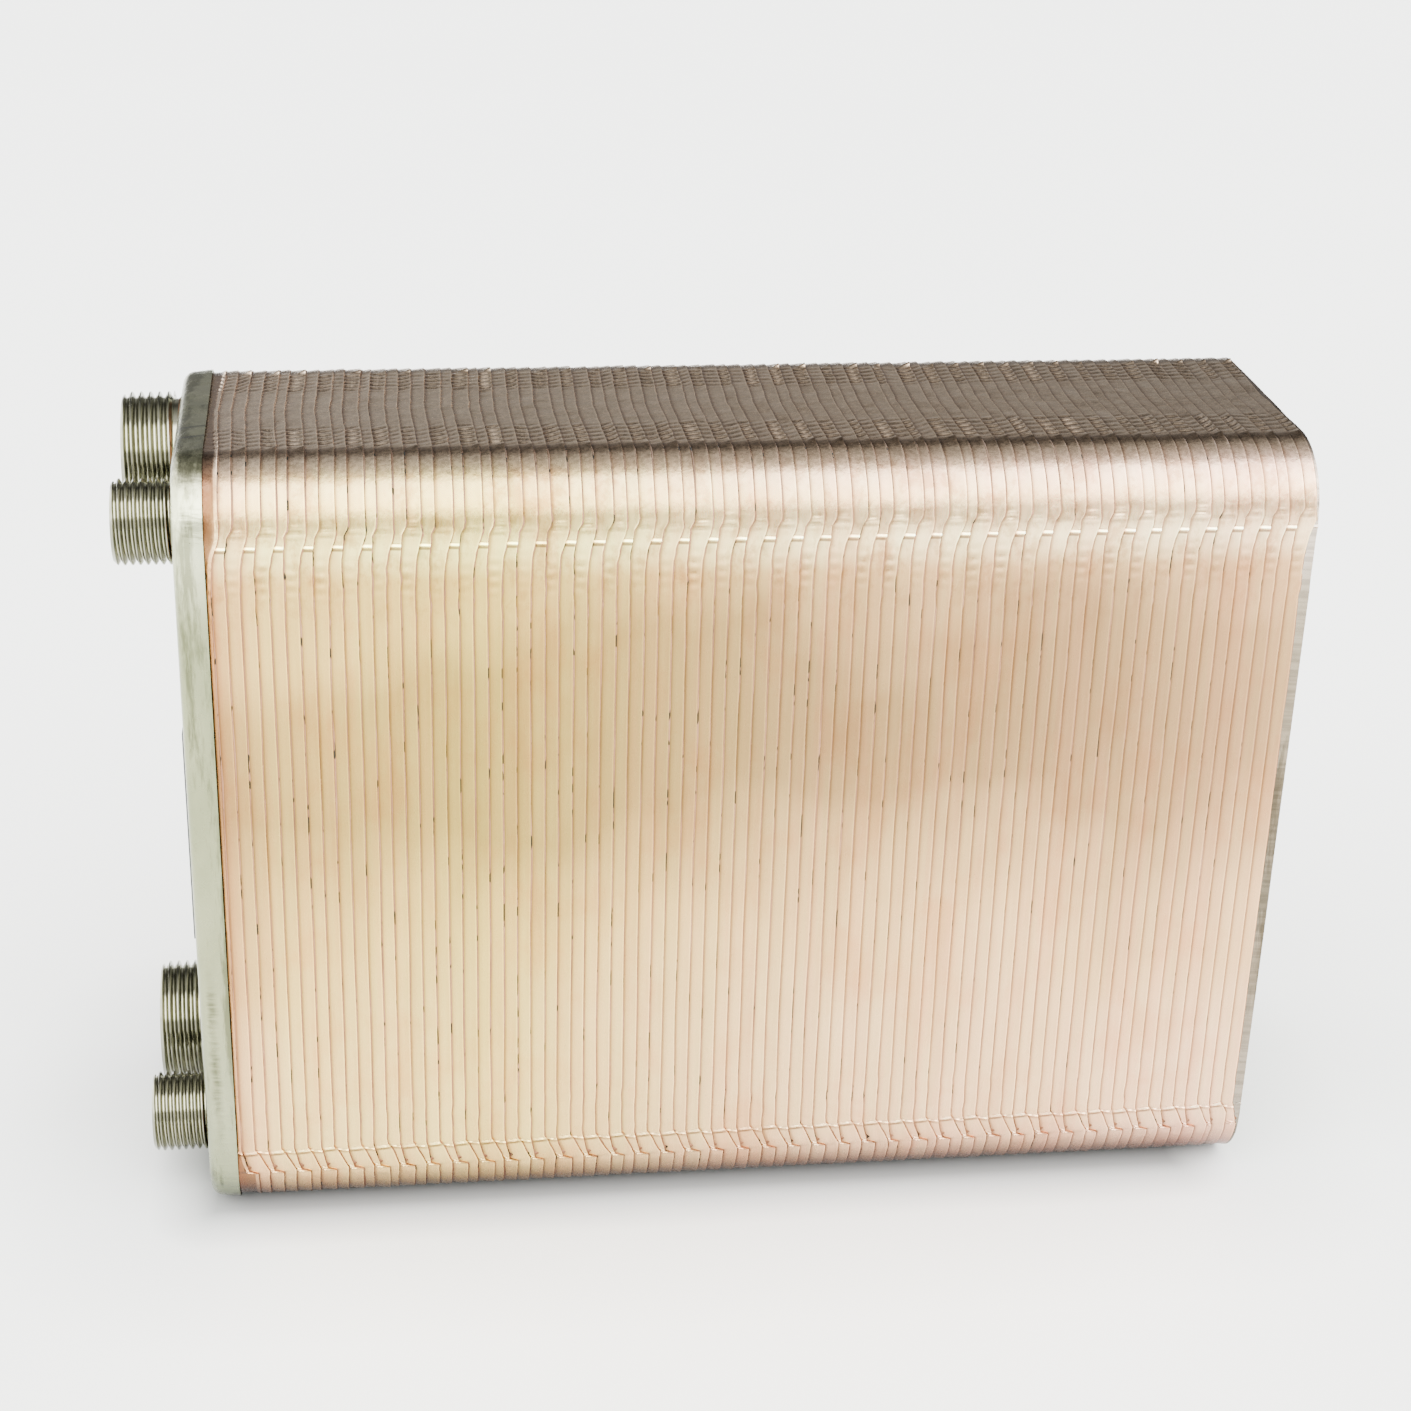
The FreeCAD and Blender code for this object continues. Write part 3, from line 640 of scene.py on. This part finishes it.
class Nodes:
    """The nodes of a material or of the world."""

    def __init__(self, owner, shader="Principled BSDF"):
        self.owner = owner
        owner.use_nodes = True
        self.tree = owner.node_tree
        self.shader = self.tree.nodes[shader]

    def add(self, kind, **values):
        node = self.tree.nodes.new(kind)
        for key, value in values.items():
            if key in node.bl_rna.properties:
                setattr(node, key, value)
            else:
                node.inputs[key.replace("_", " ")].default_value = value
        return node

    def feed(self, value, socket):
        """Links an output to a socket, or sets the socket to a number or a colour."""
        if isinstance(value, tuple):
            socket.default_value = (*value, 1)
        elif isinstance(value, (int, float)):
            socket.default_value = value
        else:
            self.tree.links.new(value, socket)

    def coords(self, stretch=WHITE):
        place = self.add("ShaderNodeTexCoord")
        mapping = self.add("ShaderNodeMapping", Scale=stretch)
        self.feed(place.outputs["Object"], mapping.inputs["Vector"])
        return mapping.outputs["Vector"]

    def place(self, vector=None):
        """The X, Y and Z of a vector, or else of the place on the part."""
        split = self.add("ShaderNodeSeparateXYZ")
        self.feed(vector or self.coords(), split.inputs[0])
        return split.outputs["X"], split.outputs["Y"], split.outputs["Z"]

    def noise(self, scale, detail=3, roughness=0.5, stretch=WHITE):
        node = self.add("ShaderNodeTexNoise", Scale=scale, Detail=detail, Roughness=roughness)
        self.feed(self.coords(stretch), node.inputs["Vector"])
        return node.outputs["Fac"]

    def attribute(self, name):
        return self.add("ShaderNodeAttribute", attribute_name=name).outputs["Fac"]

    def ramp(self, source, *stops):
        node = self.add("ShaderNodeValToRGB")
        elements = node.color_ramp.elements
        while len(elements) < len(stops):
            elements.new(0.5)
        for element, (place, color) in zip(elements, stops):
            element.position = place
            element.color = (*color, 1)
        self.feed(source, node.inputs["Fac"])
        return node.outputs["Color"]

    def range(self, source, low, high, to_low=0, to_high=1, curve="LINEAR"):
        node = self.add("ShaderNodeMapRange", interpolation_type=curve)
        node.inputs["From Min"].default_value = low
        node.inputs["From Max"].default_value = high
        node.inputs["To Min"].default_value = to_low
        node.inputs["To Max"].default_value = to_high
        self.feed(source, node.inputs["Value"])
        return node.outputs["Result"]

    def math(self, operation, first, second=0):
        node = self.add("ShaderNodeMath", operation=operation)
        self.feed(first, node.inputs[0])
        self.feed(second, node.inputs[1])
        return node.outputs[0]

    def product(self, first, *others):
        for other in others:
            first = self.math("MULTIPLY", first, other)
        return first

    def mix(self, amount, first, second, blend="MIX"):
        node = self.add("ShaderNodeMix", data_type="RGBA", blend_type=blend)
        for value, socket in ((amount, 0), (first, 6), (second, 7)):
            self.feed(value, node.inputs[socket])
        return node.outputs[2]

    def times(self, base, color):
        return self.mix(1.0, base, color, "MULTIPLY")

    def stain(self, base, amount, color):
        """The base, multiplied by a colour where the amount is 1."""
        return self.mix(amount, base, self.times(base, color))

    def bump(self, height, strength, distance):
        node = self.add("ShaderNodeBump", Strength=strength, Distance=distance)
        self.feed(height, node.inputs["Height"])
        self.feed(node.outputs["Normal"], self.shader.inputs["Normal"])

    def finish(self, color, roughness, metallic=0):
        self.feed(color, self.shader.inputs["Base Color"])
        self.feed(roughness, self.shader.inputs["Roughness"])
        self.feed(metallic, self.shader.inputs["Metallic"])
        return self.owner


# ---------------------------------------------------------------- materials

HEIGHT = 2 * HALF_L
METAL = 1


def sheet_tone(nodes, along, upward):
    """Gold and pink by place: greener in the middle, paler at the foot and the bend, with painted shade
    over the upper rear.
    """
    base = nodes.ramp(
        along,
        (0.0, (0.50, 0.35, 0.14)),
        (0.14, (0.46, 0.32, 0.10)),
        (0.3, (0.40, 0.29, 0.075)),
        (0.55, (0.42, 0.28, 0.115)),
        (1.0, (0.48, 0.30, 0.145)),
    )
    cloud = nodes.math("MULTIPLY", nodes.math("SUBTRACT", nodes.noise(16, 3, 0.55), 0.5), 0.5)
    level = nodes.ramp(
        nodes.math("ADD", upward, cloud),
        (0.05, (1.06, 1.1, 1.38)),
        (0.22, (1.03, 1.05, 1.22)),
        (0.36, (0.92, 0.9, 0.9)),
        (0.58, (0.55, 0.53, 0.5)),
        (0.74, (0.6, 0.58, 0.54)),
        (0.85, (0.85, 0.83, 0.8)),
    )
    base = nodes.times(base, level)
    base = nodes.times(base, grey(1.35))
    beside_cover = nodes.ramp(along, (0.078, (0.7, 0.54, 0.6)), (0.092, (0.92, 0.84, 0.9)), (0.12, WHITE))
    base = nodes.times(base, beside_cover)
    # painted shade: a darker band over the upper part of the rear half
    behind = nodes.ramp(along, (0.3, BLACK), (0.6, WHITE), (0.85, WHITE), (0.97, grey(0.3)))
    high = nodes.ramp(upward, (0.52, BLACK), (0.66, WHITE), (0.84, WHITE), (0.9, BLACK))
    return nodes.stain(base, nodes.product(behind, high), (0.76, 0.75, 0.77))


def sheet_stains(nodes, base, upward, streak):
    """Differences from plate to plate, streaks up the plates, crept copper and scorched spots."""
    each_plate = nodes.range(nodes.noise(330, 2, 0.5, (1, 0.03, 0.03)), 0.4, 0.65, 0, 0.5)
    base = nodes.stain(base, each_plate, (1.02, 0.86, 0.92))
    base = nodes.stain(base, nodes.range(streak, 0.35, 0.65, 0, 0.5), (1.25, 1.27, 1.3))
    crept = nodes.ramp(nodes.noise(60, 4, 0.65, (1, 1, 0.6)), (0.5, BLACK), (0.66, WHITE))
    base = nodes.stain(base, nodes.product(crept, 0.4), (0.9, 0.68, 0.6))
    top = nodes.range(upward, 165 * MM / HEIGHT, 185 * MM / HEIGHT)
    scorched = nodes.ramp(nodes.noise(150, 5, 0.7, (1, 1, 0.7)), (0.5, BLACK), (0.62, WHITE))
    return nodes.stain(base, nodes.product(scorched, top, 0.55), (0.55, 0.42, 0.34))


def sheet_heights(nodes, base, upward):
    """Painted shade at the foot, a painted highlight band on the upper bend and a bluer top."""
    # painted shade low down, painted highlight across the upper bend
    zone = nodes.ramp(
        upward,
        (0.006, (0.09, 0.07, 0.075)),
        (0.016, (0.22, 0.17, 0.19)),
        (0.035, (0.44, 0.35, 0.42)),
        (0.07, (0.93, 0.88, 0.97)),
        (0.1, WHITE),
        (0.87, WHITE),
        (0.91, (1.6, 2.0, 2.5)),
        (0.955, (1.15, 1.25, 1.5)),
        (0.985, (1.02, 1.13, 1.75)),
    )
    return nodes.times(base, zone)


def sheet_top(nodes, base, along, across, upward, painted_fold_light, streak):
    """The browner short side, and a painted dark line of shade along its bend."""
    tint = nodes.ramp(
        along,
        (0.08, (0.68, 0.54, 0.42)),
        (0.3, (0.58, 0.45, 0.34)),
        (0.6, (0.52, 0.395, 0.28)),
        (1.0, (0.40, 0.32, 0.23)),
    )
    tint = nodes.times(tint, painted_fold_light)
    tint = nodes.times(tint, nodes.ramp(streak, (0.3, grey(0.85)), (0.7, grey(1.1))))
    base = nodes.mix(nodes.range(upward, 0.984, 0.998, 0, 0.85), base, tint)
    sideways = nodes.math("ABSOLUTE", across)
    bend = nodes.range(sideways, HALF_SHORT - 2 * MM, HALF_SHORT + 8 * MM)
    # painted shade: a dark line where the top turns down into the bend
    line = nodes.ramp(bend, (0.14, BLACK), (0.24, WHITE), (0.45, WHITE), (0.72, BLACK))
    line = nodes.product(line, nodes.range(upward, 0.9, 0.95, 0, 0.75))
    return nodes.stain(base, line, (0.34, 0.3, 0.27))


def sheet_strip(nodes, base):
    """Painted shade where a strip dives under the last one, and a painted highlight on its own edge."""
    near = nodes.ramp(
        nodes.attribute("strip"),
        (0.0, (0.42, 0.36, 0.33)),
        (0.12, (0.52, 0.46, 0.43)),
        (0.26, (0.89, 0.87, 0.86)),
        (0.5, WHITE),
        (0.9, WHITE),
        (0.97, grey(1.35)),
    )
    return nodes.times(base, near)


def brazed_sheet():
    """Bright annealed stainless sheet, stained gold and pink by the brazing copper."""
    nodes = Nodes(bpy.data.materials.new("brazed_sheet"))
    x, across, z = nodes.place()
    along = nodes.range(x, cad_box[0][0], cad_box[1][0])
    upward = nodes.range(z, 0, HEIGHT)
    streak = nodes.noise(240, 4, 0.6, (1, 1, 0.08))
    crease = nodes.range(nodes.attribute("crease"), -1, 1)
    # painted light on the folds: a painted highlight on top of a fold and painted shade in the bottom of
    # one
    painted_fold_light = nodes.ramp(crease, (0.05, (0.32, 0.29, 0.28)), (0.5, WHITE), (0.95, (1.75, 1.8, 1.95)))
    base = sheet_tone(nodes, along, upward)
    base = sheet_stains(nodes, base, upward, streak)
    base = nodes.times(base, painted_fold_light)
    base = sheet_heights(nodes, base, upward)
    base = sheet_top(nodes, base, along, across, upward, painted_fold_light, streak)
    base = sheet_strip(nodes, base)
    nodes.bump(nodes.noise(500, 4, 0.6, (1, 1, 0.4)), 0.25, 0.4 * MM)
    rough = nodes.range(nodes.noise(900, 2, 0.6, (1, 1, 0.15)), 0.2, 0.8, 0.2, 0.36)
    return nodes.finish(base, rough, METAL)


def cover_dent_shade(nodes, across, upward):
    """Two dents on top of the cover's bend, painted as dark lines of shade."""
    dents = nodes.ramp(
        nodes.range(across, -22 * MM, -8 * MM),
        (0.12, BLACK),
        (0.2, WHITE),
        (0.26, BLACK),
        (0.62, BLACK),
        (0.72, WHITE),
        (0.76, BLACK),
    )
    return nodes.product(dents, nodes.range(upward, 0.97, 0.98), 0.7)


def cover_rubs(nodes, x, upward):
    """A soft lane of fine level rubs, low on the cover's side."""
    low = nodes.ramp(upward, (0.1, BLACK), (0.14, WHITE), (0.32, WHITE), (0.38, BLACK))
    ragged = nodes.range(nodes.noise(900, 2, 0.6, (0.1, 0.1, 1)), 0.3, 0.7, -0.05, 0.05)
    across = nodes.math("ADD", nodes.range(x, cover_low[0], cover_high[0]), ragged)
    lane = nodes.ramp(across, (0.22, BLACK), (0.36, WHITE), (0.46, WHITE), (0.66, BLACK))
    ticks = nodes.ramp(nodes.noise(1500, 1, 0.5, (0.02, 0.02, 1)), (0.35, grey(0.45)), (0.6, WHITE))
    patchy = nodes.range(nodes.noise(100, 3, 0.6, (1, 1, 0.5)), 0.38, 0.6, 0.15, 1)
    return nodes.product(ticks, lane, low, patchy)


def cover_steel(name, dull, bright, hatch):
    """Bare bright annealed stainless sheet with soft rubs, and a painted highlight along its upper bend."""
    nodes = Nodes(bpy.data.materials.new(name))
    x, across, z = nodes.place()
    upward = nodes.range(z, 0, HEIGHT)
    base = nodes.ramp(nodes.noise(60, 4, 0.6, (1, 1, 0.4)), (0.3, dull), (0.7, bright))
    hatched = nodes.ramp(nodes.noise(900, 2, 0.5, (0.05, 0.05, 1)), (0.4, grey(hatch)), (0.6, WHITE))
    base = nodes.times(base, hatched)
    clouds = nodes.ramp(nodes.noise(45, 6, 0.72, (2.5, 1, 0.3)), (0.52, WHITE), (0.6, (0.5, 0.5, 0.47)))
    base = nodes.times(base, clouds)
    # painted highlight along the upper bend; slightly darker low on the side
    zone = nodes.ramp(
        upward,
        (0.0, (1.0, 1.03, 1.15)),
        (0.3, (0.93, 0.93, 0.95)),
        (0.5, WHITE),
        (0.82, WHITE),
        (0.9, (1.8, 1.8, 2.0)),
        (0.965, (1.9, 1.9, 2.1)),
        (0.985, (1.15, 1.1, 1.25)),
    )
    base = nodes.times(base, zone)
    # painted shade of the two dents
    base = nodes.mix(cover_dent_shade(nodes, across, upward), base, grey(0.03))
    base = nodes.stain(base, cover_rubs(nodes, x, upward), (0.4, 0.4, 0.38))
    nodes.bump(nodes.noise(70, 4, 0.6, (0.5, 0.5, 1.8)), 0.6, 1 * MM)
    return nodes.finish(base, nodes.range(nodes.noise(150, 4, 0.65), 0.3, 0.7, 0.18, 0.34), METAL)


def connector_steel():
    """Turned stainless bar: fine rings from the tool round each connector, and painted light deep in the
    thread.
    """
    nodes = Nodes(bpy.data.materials.new("connector_steel"))
    base = nodes.ramp(nodes.noise(120, 4, 0.6), (0.3, (0.19, 0.19, 0.147)), (0.7, (0.29, 0.286, 0.23)))
    # painted light: the thread is lighter towards its roots, lifting the shade of its grooves
    cut = nodes.ramp(
        nodes.attribute("cut"),
        (0.0, (1.0, 1.0, 0.97)),
        (0.12, (0.9, 0.9, 0.87)),
        (0.45, (1.0, 1.0, 0.93)),
        (0.85, (1.25, 1.25, 1.15)),
        (1.0, (1.3, 1.3, 1.2)),
    )
    nodes.bump(nodes.noise(2200, 2, 0.6, (1, 0.02, 0.02)), 0.06, 0.2 * MM)
    rough = nodes.range(nodes.noise(300, 3, 0.6), 0.3, 0.7, 0.13, 0.22)
    return nodes.finish(nodes.times(base, cut), rough, METAL)


def copper():
    """Brazing copper that has flowed and cooled: pink, dull and flecked with dark flux."""
    nodes = Nodes(bpy.data.materials.new("copper"))
    tone = nodes.noise(90, 5, 0.65, (1, 1, 0.5))
    base = nodes.ramp(
        tone,
        (0.25, (0.16, 0.08, 0.045)),
        (0.5, (0.30, 0.155, 0.085)),
        (0.75, (0.42, 0.25, 0.15)),
    )
    flecks = nodes.ramp(nodes.noise(60, 2, 0.6, (6, 6, 2.5)), (0.605, BLACK), (0.635, WHITE))
    base = nodes.mix(flecks, base, (0.035, 0.03, 0.022))
    # painted shade at the foot, as on the sheet; darker and bluer on the top, close to the sheet there
    zone = nodes.ramp(
        nodes.range(nodes.place()[2], 0, HEIGHT),
        (0.03, (0.4, 0.33, 0.32)),
        (0.1, (0.62, 0.54, 0.52)),
        (0.12, WHITE),
        (0.93, WHITE),
        (0.985, (0.42, 0.5, 0.6)),
    )
    nodes.bump(nodes.noise(800, 4, 0.7), 0.5, 0.4 * MM)
    return nodes.finish(nodes.times(base, zone), nodes.range(tone, 0.3, 0.7, 0.35, 0.55), METAL)


def label_film():
    """A blank dark rating plate of etched foil."""
    nodes = Nodes(bpy.data.materials.new("label"))
    base = nodes.ramp(nodes.noise(200, 3, 0.5), (0.3, (0.02, 0.02, 0.022)), (0.7, (0.05, 0.05, 0.055)))
    nodes.bump(nodes.noise(1500, 2, 0.5), 0.2, 0.2 * MM)
    return nodes.finish(base, 0.5)


def floor_paper():
    """Pale studio paper, with a painted shadow round the foot of the part."""
    nodes = Nodes(bpy.data.materials.new("floor"))
    base = nodes.ramp(nodes.noise(3, 3, 0.5), (0.3, (0.80, 0.81, 0.80)), (0.7, (0.82, 0.83, 0.82)))
    x, y, _ = nodes.place()
    squares = []
    for place, half in ((x, cad_box[1][0] - 16 * MM), (y, HALF_W - 6 * MM)):
        outside = nodes.math("SUBTRACT", nodes.math("ABSOLUTE", place), half)
        reach = nodes.math("MAXIMUM", outside, 0)
        squares.append(nodes.product(reach, reach))
    away = nodes.math("SQRT", nodes.math("ADD", *squares))
    # painted shadow, darkest at the part's foot
    shade = nodes.ramp(
        nodes.range(away, 0, 60 * MM),
        (0.0, grey(0.3)),
        (0.1, grey(0.5)),
        (0.3, grey(0.82)),
        (1.0, WHITE),
    )
    nodes.bump(nodes.noise(400, 2, 0.5), 0.05, 0.5 * MM)
    return nodes.finish(nodes.times(base, shade), 0.6)


materials = {
    "brazed_sheet": brazed_sheet(),
    "cover_steel": cover_steel("cover_steel", (0.20, 0.215, 0.12), (0.31, 0.32, 0.19), hatch=1.0),
    "rear_steel": cover_steel("rear_steel", (0.20, 0.16, 0.11), (0.32, 0.27, 0.20), hatch=0.72),
    "connector_steel": connector_steel(),
    "copper": copper(),
    "label": label_film(),
}


# ---------------------------------------------------------------- floor, light and camera

FLOOR_HALF = 14.0

# brightness by direction, from the front horizon (0) over the top (0.5) to the back horizon (1)
SKY_LEVELS = [(0.0, 0.2), (0.16, 0.2), (0.19, 1.0), (0.44, 1.0), (0.48, 0.13), (0.6, 0.07)]
SKY_LEVELS += [(0.7, 0.03), (0.77, 0.006), (0.82, 0.012), (0.86, 0.037), (1.0, 0.037)]
SKY_STRENGTH = 12.0
SKY_COLOR = (1.0, 1.0, 0.99)
SIDE_LEVEL = 0.7

AZIMUTH = math.radians(8.02)
ELEVATION = math.radians(25.0)
ROLL = math.radians(1.73)
LENS = 68.02
SENSOR = 36
# the camera's place in plate heights, from the foot of the stack's front corner
EYE_X = 0.1747
EYE_Y = 2.8214
EYE_Z = 2.0324


def floor():
    corners = [(x * FLOOR_HALF, y * FLOOR_HALF, 0) for x, y in ((-1, -1), (1, -1), (1, 1), (-1, 1))]
    ground = make_mesh("floor", corners, [(0, 1, 2, 3)])
    ground.data.materials.append(floor_paper())


def world():
    """A pale studio by direction: bright sides, a wide softbox above the front, dim behind."""
    sky = bpy.data.worlds.new("studio")
    bpy.context.scene.world = sky
    nodes = Nodes(sky, "Background")
    x, y, z = nodes.place(nodes.add("ShaderNodeTexCoord").outputs["Generated"])
    rise = nodes.math("DIVIDE", nodes.math("ARCTAN2", z, nodes.math("MULTIPLY", y, -1)), math.pi)
    levels = nodes.ramp(rise, *((place, grey(level)) for place, level in SKY_LEVELS))
    sides = nodes.range(nodes.math("ABSOLUTE", x), 0.4, 0.75, curve="SMOOTHSTEP")
    middle = nodes.product(levels, nodes.math("SUBTRACT", 1, sides))
    strength = nodes.product(nodes.math("ADD", middle, nodes.product(sides, SIDE_LEVEL)), SKY_STRENGTH)
    nodes.feed(strength, nodes.shader.inputs["Strength"])
    nodes.feed(SKY_COLOR, nodes.shader.inputs["Color"])


def camera():
    ahead = Vector((math.sin(AZIMUTH), math.cos(AZIMUTH), 0))
    forward = math.cos(ELEVATION) * ahead - math.sin(ELEVATION) * Vector((0, 0, 1))
    right = Vector((math.cos(AZIMUTH), -math.sin(AZIMUTH), 0))
    up = right.cross(forward)
    turned_right = math.cos(ROLL) * right + math.sin(ROLL) * up
    turned_up = math.cos(ROLL) * up - math.sin(ROLL) * right
    axes = Matrix((turned_right, turned_up, -forward)).transposed()
    data = bpy.data.cameras.new("camera")
    data.lens = LENS
    data.sensor_width = SENSOR
    data.clip_end = 50
    eye = bpy.data.objects.new("camera", data)
    place = Vector((SEAM_X - 1 * MM + EYE_X * HEIGHT, -HALF_W - EYE_Y * HEIGHT, EYE_Z * HEIGHT))
    eye.matrix_world = Matrix.Translation(place) @ axes.to_4x4()
    bpy.context.scene.collection.objects.link(eye)
    bpy.context.scene.camera = eye


# ---------------------------------------------------------------- the whole scene

for index, node in enumerate(PAIRS):
    plate_pair(index, node)
edge_tray("sealing_tray", 0, "front_sealing_plate", SHEET, "brazed_sheet")
edge_tray("rear_tray", PLATES + 1, "rear_cover", COVER_GAUGE, "rear_steel")
copper_beads()
for port in PORTS:
    connector(port)
    braze_ring(port)
kept_copy("front_cover", "cover_front", "cover_steel")
kept_copy("front_frame_plate", "frame_plate_front", "cover_steel")
kept_copy("rear_frame_plate", "frame_plate_rear", "cover_steel", 0.3 * MM)
kept_copy("rating_plate", "rating_plate_blank", "label", 0.15 * MM)
floor()
world()
camera()
